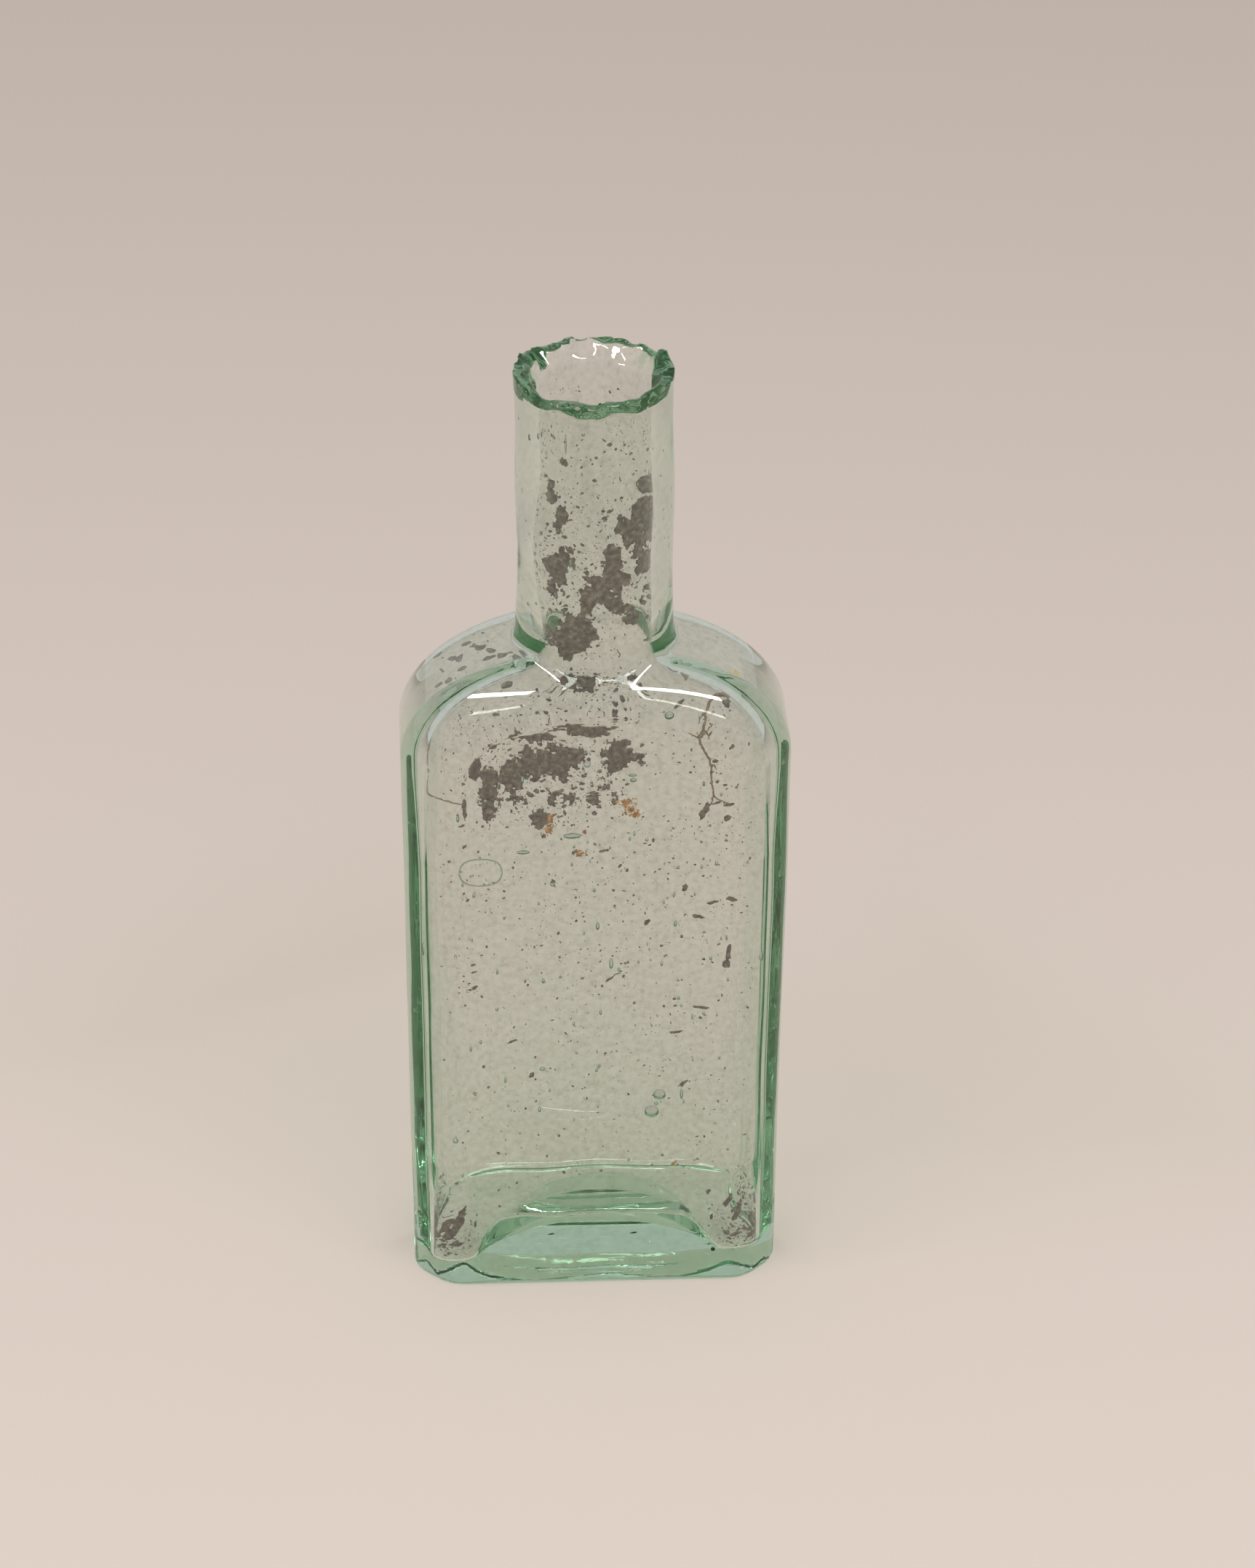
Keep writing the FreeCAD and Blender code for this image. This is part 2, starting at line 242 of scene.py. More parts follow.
def floor_height(x, y):
    """Height of the hollow's floor: dips at both ends and a crowned shelf at the front."""
    dip = np.where(x < 0, LEFT_DIP_HEIGHT, RIGHT_DIP_HEIGHT)
    floor = dip + (FLOOR_HEIGHT - dip) * np.exp(-(x / FLOOR_REACH) ** FLOOR_POWER)
    left, right = SHELF_REACH
    left_fade, right_fade = SHELF_FADE
    span = 0.25 * (1 + np.tanh((x - left) / left_fade)) * (1 + np.tanh((right - x) / right_fade))
    bend = ((x - SHELF_CURVE_MIDDLE) / SHELF_CURVE_REACH) ** 2
    crown = np.clip(1 - ((x - CROWN_MIDDLE) / CROWN_REACH) ** 2, 0, 1)
    top = SHELF_HEIGHT + SHELF_CROWN * crown * np.clip((y - CROWN_FRONT) / CROWN_DEPTH, 0, 1)
    shelf = span * 0.5 * (1 - np.tanh((y - SHELF_BACK + SHELF_CURVE * bend) / SHELF_EDGE_SOFTNESS))
    return floor + (top - floor) * shelf


def hollow_field(x, y, z):
    """The space inside, negative in the air."""
    roof = np.clip((z - ROOF_START) / ROOF_SPAN, 0, 1)
    foot = np.clip(1 - z / FOOT_CORNER_HEIGHT, 0, 1)
    front, back = ROOF_CORNER_RADIUS
    roof_radius = 0.5 * (front + back) + 0.5 * (back - front) * np.tanh(y / 2)
    radius = CORNER_RADIUS + (roof_radius - CORNER_RADIUS) * roof
    reach = radius + (FOOT_CORNER_REACH - CORNER_RADIUS) * foot
    outline = arch_field(x, z) + SIDE_WALL
    bow = HOLLOW_BOW * np.minimum(np.abs(x) / (HALF_WIDTH - SIDE_WALL), HOLLOW_BOW_LIMIT) ** 2
    face = np.abs(y) - half_depth(z) + FACE_WALL + bow
    chamber = rounded_meeting(outline, face, reach, radius, CORNER_POWER)
    chamber = smooth_max(chamber, floor_height(x, y) - z, FLOOR_SOFTNESS)
    chamber = chamber + waves(x, y, z, **HOLLOW_WAVES)
    ripple = waves(x, y, z, **FLARE_WAVES)
    flare = LIP_FLARE * np.clip((z + ripple - RIM_HEIGHT) / FLARE_HEIGHT + 1, 0, 1.3) ** FLARE_POWER
    bore = neck_distance(x, y, z) - BORE_RADIUS - flare
    bore = bore + waves(x, y, z, **BORE_WAVES)
    bore = np.maximum(bore, BORE_START - z)
    return smooth_min(chamber, bore, BORE_FILLET)


def recess_field(x, y, z):
    """The slight oval hollow under the base, negative in the air."""
    a, b, c = RECESS
    reach = np.sqrt((x / a) ** 2 + (y / b) ** 2 + (z / c) ** 2) + TINY
    slope = np.sqrt((x / a ** 2) ** 2 + (y / b ** 2) ** 2 + (z / c ** 2) ** 2) / reach + TINY
    return (reach - 1) / slope


def lip_scoops():
    """Shell-like chips round the lip: centre and radius of each scoop."""
    rng = np.random.default_rng(5)
    scoops = []
    for direction in np.arange(-180, 180, SCOOP_EVERY):
        angle = math.radians(direction + rng.uniform(*SCOOP_SHIFT))
        radius = rng.uniform(*SCOOP_RADIUS)
        bite = rng.uniform(*SCOOP_BITE)
        ring = rng.uniform(*SCOOP_RING)
        scoops.append((ring * math.cos(angle), ring * math.sin(angle), RIM_HEIGHT + radius - bite, radius))
    return scoops


LIP_SCOOPS = lip_scoops()


def lip_field(x, y, z):
    """The broken edge of the lip, positive above it."""
    spike_x, spike_y = LIP_SPIKE
    spike = np.hypot(x - spike_x, y - spike_y) - SPIKE_SLOPE * (SPIKE_POINT - z)
    spike = np.maximum(spike, z - SPIKE_TOP)
    broken = z - LIP_TOP
    for sx, sy, sz, radius in LIP_SCOOPS:
        scoop = np.sqrt((x - sx) ** 2 + (y - sy) ** 2 + (z - sz) ** 2) - radius
        broken = np.maximum(broken, -scoop)
    broken = broken + waves(x, y, z, **LIP_WAVES)
    return smooth_min(broken, spike, SPIKE_FILLET)


def glass_field(x, y, z):
    """All of the glass."""
    body = np.maximum(outside_field(x, y, z), lip_field(x, y, z))
    body = smooth_max(body, -hollow_field(x, y, z), RIM_SOFTNESS)
    return smooth_max(body, -recess_field(x, y, z), RECESS_SOFTNESS)


def field_gradient(field, points, step=0.02):
    """How the field changes along each axis, at every point."""
    gradient = np.empty_like(points)
    for axis in range(3):
        shift = np.zeros(3)
        shift[axis] = step
        gradient[:, axis] = (field(*(points + shift).T) - field(*(points - shift).T)) / (2 * step)
    return gradient


def settle(field, points, depths, rounds, longest_step):
    """Moves points until each is the given depth below the field's zero surface."""
    for _ in range(rounds):
        gradient = field_gradient(field, points)
        square = (gradient ** 2).sum(axis=1) + 1e-6
        step = np.clip((field(*points.T) + depths) / square, -longest_step, longest_step)
        points = points - step[:, None] * gradient
    return points


# --------------------------------------------------
# Meshes and objects
# --------------------------------------------------
def new_object(name, vertices_mm, faces, material, smooth=True):
    """An object in the scene, from vertices in millimetres."""
    mesh = bpy.data.meshes.new(name)
    mesh.from_pydata((np.asarray(vertices_mm) * 0.001).tolist(), [], faces)
    mesh.update()
    if smooth:
        mesh.polygons.foreach_set("use_smooth", [True] * len(mesh.polygons))
    mesh.materials.append(material)
    piece = bpy.data.objects.new(name, mesh)
    bpy.context.scene.collection.objects.link(piece)
    return piece


def face_outwards(piece, outwards=True):
    """Turns a closed mesh so that its normals point out, or in."""
    shape = bmesh.new()
    shape.from_mesh(piece.data)
    if (shape.calc_volume(signed=True) > 0) != outwards:
        bmesh.ops.reverse_faces(shape, faces=shape.faces)
        shape.to_mesh(piece.data)
    shape.free()


def build_glass(material):
    """Meshes the glass field and settles every vertex onto it."""
    xs, ys, zs = [GRID_PITCH * np.arange(*cells) for cells in (GRID_WIDTH, GRID_DEPTH, GRID_HEIGHT)]
    x, y, z = np.meshgrid(xs, ys, zs, indexing="ij")
    values = glass_field(x, y, z).astype(np.float32)
    grid = openvdb.FloatGrid()
    grid.background = FAR_OUTSIDE
    grid.copyFromArray(values)
    points, triangles, quads = grid.convertToPolygons(isovalue=0.0, adaptivity=0.0)
    points = np.asarray(points) * GRID_PITCH + np.array([xs[0], ys[0], zs[0]])
    points = settle(glass_field, points, 0.0, rounds=4, longest_step=0.3)
    faces = [tuple(int(i) for i in face) for face in (*quads, *triangles)]
    piece = new_object("glass", points, faces, material)
    face_outwards(piece)
    normals = field_gradient(glass_field, points)
    normals /= np.linalg.norm(normals, axis=1)[:, None] + TINY
    piece.data.normals_split_custom_set_from_vertices(normals.tolist())
    return piece


# --------------------------------------------------
# Materials
# --------------------------------------------------
GLASS_IOR = 1.52
GLASS_ABSORPTION = (0.533, 0.783, 0.625, 1)
GLASS_ABSORPTION_DENSITY = 60.0
FILM_GRAIN = 0.8            # sizes of noise in millimetres
STREAK_GRAIN = 1.3
STREAK_STRETCH = (1, 1, 14)
RIPPLE_GRAIN = 2.6
STREAK_RELIEF = 0.006       # depths of bumps in millimetres
RIPPLE_RELIEF = 0.002
DIRT_RELIEF = 0.12
CLEAR_TINT = (0.955, 0.96, 0.95, 1)
FLOOR_COLOR = (0.475, 0.415, 0.378, 1)
# Colours of the film on the glass and of each deposit, by noise value.
FILM_STOPS = [(0.30, (0.73, 0.74, 0.70)), (0.44, (0.865, 0.875, 0.845)), (0.60, (0.922, 0.932, 0.915))]
SOIL_STOPS = [(0.35, (0.036, 0.027, 0.020)), (0.52, (0.086, 0.064, 0.047)), (0.72, (0.19, 0.147, 0.112))]
RUST_STOPS = [(0.35, (0.13, 0.050, 0.012)), (0.65, (0.42, 0.19, 0.045))]
ROOT_STOPS = [(0.35, (0.085, 0.052, 0.029)), (0.65, (0.22, 0.14, 0.08))]
AMBER_STOPS = [(0.30, (0.36, 0.20, 0.055)), (0.70, (0.62, 0.42, 0.17))]


def new_material(name):
    """A material with its nodes, its links and its main shader."""
    material = bpy.data.materials.new(name)
    material.use_nodes = True
    nodes = material.node_tree.nodes
    return material, nodes, material.node_tree.links, nodes["Principled BSDF"]


def add_noise(nodes, links, size_mm, detail, stretch=(1, 1, 1)):
    """Noise in the bottle's own space; stretch makes it longer along an axis."""
    place = nodes.new("ShaderNodeTexCoord")
    scale = nodes.new("ShaderNodeMapping")
    scale.inputs["Scale"].default_value = [1000 / (size_mm * part) for part in stretch]
    noise = nodes.new("ShaderNodeTexNoise")
    noise.inputs["Scale"].default_value = 1.0
    noise.inputs["Detail"].default_value = detail
    links.new(place.outputs["Object"], scale.inputs["Vector"])
    links.new(scale.outputs["Vector"], noise.inputs["Vector"])
    return noise


def add_ramp(nodes, links, noise, stops):
    """Colours by noise value."""
    ramp = nodes.new("ShaderNodeValToRGB")
    while len(ramp.color_ramp.elements) < len(stops):
        ramp.color_ramp.elements.new(0.5)
    for element, (position, color) in zip(ramp.color_ramp.elements, stops):
        element.position = position
        element.color = (*color, 1)
    links.new(noise.outputs["Fac"], ramp.inputs["Fac"])
    return ramp


def add_bump(nodes, links, noise, surface, depth_mm, below=None):
    """Fine relief from noise, on top of the bump below."""
    bump = nodes.new("ShaderNodeBump")
    bump.inputs["Strength"].default_value = 1.0
    bump.inputs["Distance"].default_value = depth_mm * 0.001
    links.new(noise.outputs["Fac"], bump.inputs["Height"])
    if below:
        links.new(below.outputs["Normal"], bump.inputs["Normal"])
    links.new(bump.outputs["Normal"], surface.inputs["Normal"])
    return bump


def let_light_through(nodes, links, surface):
    """Lamps and scattered light pass straight through; the glass bends only what is seen."""
    rays = nodes.new("ShaderNodeLightPath")
    clear = nodes.new("ShaderNodeBsdfTransparent")
    clear.inputs["Color"].default_value = CLEAR_TINT
    shader = surface.outputs["BSDF"]
    for kind in ("Is Diffuse Ray", "Is Shadow Ray"):
        mix = nodes.new("ShaderNodeMixShader")
        links.new(rays.outputs[kind], mix.inputs["Fac"])
        links.new(shader, mix.inputs[1])
        links.new(clear.outputs["BSDF"], mix.inputs[2])
        shader = mix.outputs["Shader"]
    links.new(shader, nodes["Material Output"].inputs["Surface"])


def make_glass_material(name, tinted):
    """Glass; where tinted, it is pale green inside and under a thin warm film of dirt."""
    material, nodes, links, surface = new_material(name)
    surface.inputs["Transmission Weight"].default_value = 1.0
    surface.inputs["Roughness"].default_value = 0.0
    surface.inputs["IOR"].default_value = GLASS_IOR
    let_light_through(nodes, links, surface)
    if not tinted:
        return material
    film = add_noise(nodes, links, FILM_GRAIN, 6.0)
    tint = add_ramp(nodes, links, film, FILM_STOPS)
    links.new(tint.outputs["Color"], surface.inputs["Base Color"])
    streaks = add_noise(nodes, links, STREAK_GRAIN, 2.0, STREAK_STRETCH)
    under = add_bump(nodes, links, streaks, surface, STREAK_RELIEF)
    ripples = add_noise(nodes, links, RIPPLE_GRAIN, 3.0)
    add_bump(nodes, links, ripples, surface, RIPPLE_RELIEF, under)
    volume = nodes.new("ShaderNodeVolumeAbsorption")
    volume.inputs["Color"].default_value = GLASS_ABSORPTION
    volume.inputs["Density"].default_value = GLASS_ABSORPTION_DENSITY
    links.new(volume.outputs["Volume"], nodes["Material Output"].inputs["Volume"])
    return material


def make_dirt_material(name, stops, size_mm):
    """A rough, crumbly deposit, its colour patches of the given size."""
    material, nodes, links, surface = new_material(name)
    surface.inputs["Roughness"].default_value = 0.9
    grain = add_noise(nodes, links, size_mm, 5.0)
    color = add_ramp(nodes, links, grain, stops)
    links.new(color.outputs["Color"], surface.inputs["Base Color"])
    add_bump(nodes, links, grain, surface, DIRT_RELIEF)
    return material


def make_floor_material():
    """A plain pale table."""
    material, _, _, surface = new_material("pale_floor")
    surface.inputs["Base Color"].default_value = FLOOR_COLOR
    surface.inputs["Roughness"].default_value = 0.7
    return material


# --------------------------------------------------
# What sticks to the wall of the hollow
# --------------------------------------------------
CRUST_PITCH = 0.12          # of the crusts' mesh
CRUST_RAGGEDNESS = 0.95     # how strongly noise breaks up their outlines
GRAIN_SKEW = 2.2            # above 1, small grains outnumber large ones
GRAIN_WIDTH = (0.14, 0.9)   # as a share of a grain's length
GRAINS_PER_RUST_SPOT = 48
GRAINS_PER_HEEL = 700
FLAKE_THICKNESS = 0.5       # as a share of a flake's half width
RUST_THICKNESS = 0.6
AMBER_THICKNESS = 0.05      # in millimetres
RUST_SPREAD = 0.6           # of the grains, as a share of a cluster's half sizes
RUST_START = -8.5           # depth from which they are moved onto the front wall
HEEL_SPREAD = ((17.4, 1.0), (-4.5, 2.6), (0.0, 3.2))    # middle and spread of silt along x, y, z
HEEL_HEIGHT = 3.0
FLAKE_LAYERS = ((1.0, 0.0), (1.0, 0.55), (0.6, 1.0))    # width and height shares of a flake's layers


def drape(points, depths):
    """Moves points until each is the given depth off the wall of the hollow."""
    return settle(hollow_field, points, depths, rounds=7, longest_step=0.5)


def neck_place(arc, height):
    """Arc length round the bore from the front, and height, to a place in space."""
    angle = arc / BORE_RADIUS
    lean = NECK_LEAN * (height - SHOULDER_TOP)
    return np.stack([BORE_RADIUS * np.sin(angle) + lean, -BORE_RADIUS * np.cos(angle), height], axis=-1)


def front_place(x, z):
    """Place near the front wall of the body."""
    return np.stack([x, np.full_like(x, -WALL_START), z], axis=-1)


def back_place(x, z):
    """Place near the back wall of the body."""
    return np.stack([x, np.full_like(x, WALL_START), z], axis=-1)


def spot_weight(u, v, spots):
    """Above zero near the given spots: place u, v, half sizes and strength."""
    weight = np.full(np.shape(u), -9.0)
    for cu, cv, half_u, half_v, strength in spots:
        reach = ((u - cu) / half_u) ** 2 + ((v - cv) / half_v) ** 2
        weight = np.maximum(weight, strength * (1 - reach))
    return weight


def crust_layer(spots, place, seed, patch_size, thickness):
    """A thin ragged layer on the wall: vertices and faces, closed all round."""
    low_u = min(s[0] - 1.5 * s[2] for s in spots)
    high_u = max(s[0] + 1.5 * s[2] for s in spots)
    low_v = min(s[1] - 1.5 * s[3] for s in spots)
    high_v = max(s[1] + 1.5 * s[3] for s in spots)
    across = np.arange(low_u, high_u, CRUST_PITCH)
    up = np.arange(low_v, high_v, CRUST_PITCH)
    u, v = np.meshgrid(across, up, indexing="ij")
    value = spot_weight(u, v, spots) + CRUST_RAGGEDNESS * cloud(u, v, seed, patch_size)
    solid = value > 0
    cells = solid[:-1, :-1] & solid[1:, :-1] & solid[:-1, 1:] & solid[1:, 1:]
    used = np.zeros(solid.shape, bool)
    for di in (0, 1):
        for dj in (0, 1):
            used[di:di + cells.shape[0], dj:dj + cells.shape[1]] |= cells
    number = np.full(solid.shape, -1)
    count = int(used.sum())
    number[used] = np.arange(count)
    outer = drape(place(u[used], v[used]), DIRT_GAP)
    height = thickness * (0.25 + 0.75 * np.clip(value[used] / 0.6, 0, 1))
    inner = drape(outer, DIRT_GAP + height)
    faces = []
    for i, j in zip(*np.nonzero(cells)):
        a, b, c, d = number[i, j], number[i + 1, j], number[i + 1, j + 1], number[i, j + 1]
        faces.append((a, b, c, d))
        faces.append((a + count, d + count, c + count, b + count))
        if i == 0 or not cells[i - 1, j]:
            faces.append((a, d, d + count, a + count))
        if i == cells.shape[0] - 1 or not cells[i + 1, j]:
            faces.append((c, b, b + count, c + count))
        if j == 0 or not cells[i, j - 1]:
            faces.append((b, a, a + count, b + count))
        if j == cells.shape[1] - 1 or not cells[i, j + 1]:
            faces.append((d, c, c + count, d + count))
    return np.concatenate([outer, inner]), [tuple(int(k) for k in face) for face in faces]


def flakes(places, lengths, widths, thicknesses, tilts, seed, sides=9):
    """Ragged flakes lying on the wall: vertices and faces of them all."""
    rng = np.random.default_rng(seed)
    places = drape(np.asarray(places, float), DIRT_GAP)
    normals = field_gradient(hollow_field, places)
    normals /= np.linalg.norm(normals, axis=1)[:, None]
    vertices = []
    depths = []
    faces = []
    for index, centre in enumerate(places):
        normal = normals[index]
        upright = np.array([0, 0, 1.0]) - normal * normal[2]
        if np.linalg.norm(upright) < 0.2:
            upright = np.array([1.0, 0, 0]) - normal * normal[0]
        upright /= np.linalg.norm(upright)
        across = np.cross(upright, normal)
        along = upright * math.cos(tilts[index]) + across * math.sin(tilts[index])
        beside = np.cross(along, normal)
        angles = np.arange(sides) * 2 * math.pi / sides
        reach = rng.uniform(0.6, 1.2, sides)
        first = len(vertices)
        for shrink, depth in FLAKE_LAYERS:
            for angle, part in zip(angles, reach):
                out = shrink * part * (lengths[index] * math.cos(angle) * along
                                       + widths[index] * math.sin(angle) * beside)
                vertices.append(centre + out)
                depths.append(DIRT_GAP + depth * thicknesses[index])
        faces.append(tuple(range(first + sides - 1, first - 1, -1)))
        for layer in (0, 1):
            low = first + layer * sides
            for k in range(sides):
                n = (k + 1) % sides
                faces.append((low + k, low + n, low + sides + n, low + sides + k))
        faces.append(tuple(range(first + 2 * sides, first + 3 * sides)))
    return drape(np.array(vertices), np.array(depths)), faces


def random_flakes(places, sizes, seed, sides=6):
    """Grains with random half lengths between two sizes, mostly small ones."""
    rng = np.random.default_rng(seed)
    smallest, largest = sizes
    count = len(places)
    lengths = smallest * (largest / smallest) ** (rng.random(count) ** GRAIN_SKEW)
    widths = lengths * rng.uniform(*GRAIN_WIDTH, count)
    return flakes(places, lengths, widths, widths * 0.5, rng.uniform(0, math.pi, count), seed + 1, sides)


def listed_flakes(rows, thickness_share, seed, sides):
    """The flakes of a table: place, half length, half width, and tilt from upright."""
    rows = np.array(rows)
    places, lengths, widths, tilts = rows[:, :3], rows[:, 3], rows[:, 4], rows[:, 5]
    return flakes(places, lengths, widths, widths * thickness_share, tilts, seed, sides)


def join_meshes(parts):
    """One list of vertices and one of faces from several."""
    vertices = []
    faces = []
    for part_vertices, part_faces in parts:
        first = len(vertices)
        vertices.extend(part_vertices.tolist())
        faces.extend(tuple(k + first for k in face) for face in part_faces)
    return np.array(vertices), faces


def scatter(place, u_range, v_range, count, seed, density):
    """Random places on the wall, closer together where the density is high."""
    rng = np.random.default_rng(seed)
    u = rng.uniform(*u_range, count)
    v = rng.uniform(*v_range, count)
    keep = rng.random(count) < density(u, v)
    return place(u[keep], v[keep])


def spline(points, per_span=8):
    """A smooth line through the points."""
    points = np.asarray(points, float)
    padded = np.vstack([2 * points[0] - points[1], points, 2 * points[-1] - points[-2]])
    out = []
    for k in range(1, len(padded) - 2):
        p0, p1, p2, p3 = padded[k - 1:k + 3]
        for t in np.arange(per_span) / per_span:
            out.append(0.5 * (2 * p1 + (p2 - p0) * t + (2 * p0 - 5 * p1 + 4 * p2 - p3) * t ** 2
                              + (3 * p1 - p0 - 3 * p2 + p3) * t ** 3))
    out.append(points[-1])
    return np.array(out)


def thread(points, start_radius, end_radius, seed, sides=7):
    """A tapering thread with slight knots, lying on the wall."""
    rng = np.random.default_rng(seed)
    line = spline(points)
    line += rng.normal(size=line.shape) * start_radius * 0.35
    share = np.linspace(0, 1, len(line))
    radius = (start_radius + (end_radius - start_radius) * share) * rng.uniform(0.8, 1.25, len(line))
    line = drape(line, DIRT_GAP + radius * 1.15)
    vertices = []
    faces = []
    for index, centre in enumerate(line):
        ahead = line[min(index + 1, len(line) - 1)] - line[max(index - 1, 0)]
        ahead /= np.linalg.norm(ahead)
        side = np.cross(ahead, (0.0, 1.0, 0.2))
        side /= np.linalg.norm(side)
        other = np.cross(ahead, side)
        for k in range(sides):
            angle = 2 * math.pi * k / sides
            vertices.append(centre + radius[index] * (side * math.cos(angle) + other * math.sin(angle)))
    for index in range(len(line) - 1):
        for k in range(sides):
            a = index * sides + k
            b = index * sides + (k + 1) % sides
            faces.append((a, b, b + sides, a + sides))
    faces.append(tuple(range(sides - 1, -1, -1)))
    last = (len(line) - 1) * sides
    faces.append(tuple(range(last, last + sides)))
    return np.array(vertices), faces


# Crust: place along the wall, height, half sizes and strength.
NECK_CRUST = [
    (6.2, 104.6, 1.7, 1.3, 1.3), (5.2, 102.0, 2.0, 2.2, 1.5), (5.0, 99.6, 2.4, 2.1, 1.5),
    (2.9, 100.6, 0.9, 1.5, 1.2), (5.3, 95.2, 1.1, 5.0, 0.75), (1.5, 96.4, 1.0, 2.2, 1.4),
    (1.0, 92.6, 2.7, 2.7, 1.6), (-0.9, 91.0, 1.2, 2.4, 1.4), (-1.0, 87.8, 1.1, 2.3, 1.1),
    (3.4, 89.6, 1.0, 1.7, 1.0), (-4.0, 94.4, 1.4, 2.7, 0.9), (-3.3, 86.6, 2.8, 2.4, 1.2),
    (-3.8, 101.0, 0.8, 1.5, 0.9), (-3.4, 108.2, 0.5, 0.9, 0.9), (-2.7, 96.4, 0.5, 1.6, 0.7),
    (-5.0, 104.5, 0.5, 1.3, 0.5),
]
BACK_CRUST = [
    (-11.2, 57.4, 1.3, 3.9, 1.5), (-8.4, 60.0, 1.8, 2.3, 1.4), (-6.2, 61.6, 1.9, 2.2, 1.6),
    (-4.2, 61.6, 1.7, 2.5, 1.5), (-2.2, 62.4, 1.6, 1.4, 1.1), (-5.7, 54.3, 1.1, 1.4, 1.2),
    (-4.2, 56.4, 2.0, 1.6, 0.7), (0.1, 56.0, 1.0, 1.1, 1.1), (3.6, 62.6, 1.8, 1.9, 0.8),
    (-6.0, 65.2, 3.0, 0.6, 0.9), (-1.2, 66.2, 3.6, 0.8, 1.1), (-3.4, 67.5, 2.4, 0.6, 0.8),
    (-13.2, 61.4, 0.8, 2.0, 1.1), (-11.6, 64.6, 1.3, 0.9, 1.0), (-9.4, 66.6, 1.5, 0.7, 0.9),
    (-1.8, 72.8, 2.6, 2.0, 1.3), (4.2, 73.6, 1.7, 0.8, 1.2), (-7.4, 57.0, 1.0, 0.7, 0.7),
    (1.8, 58.4, 1.0, 0.6, 0.6), (-14.9, 56.6, 0.6, 2.2, 0.7),
]
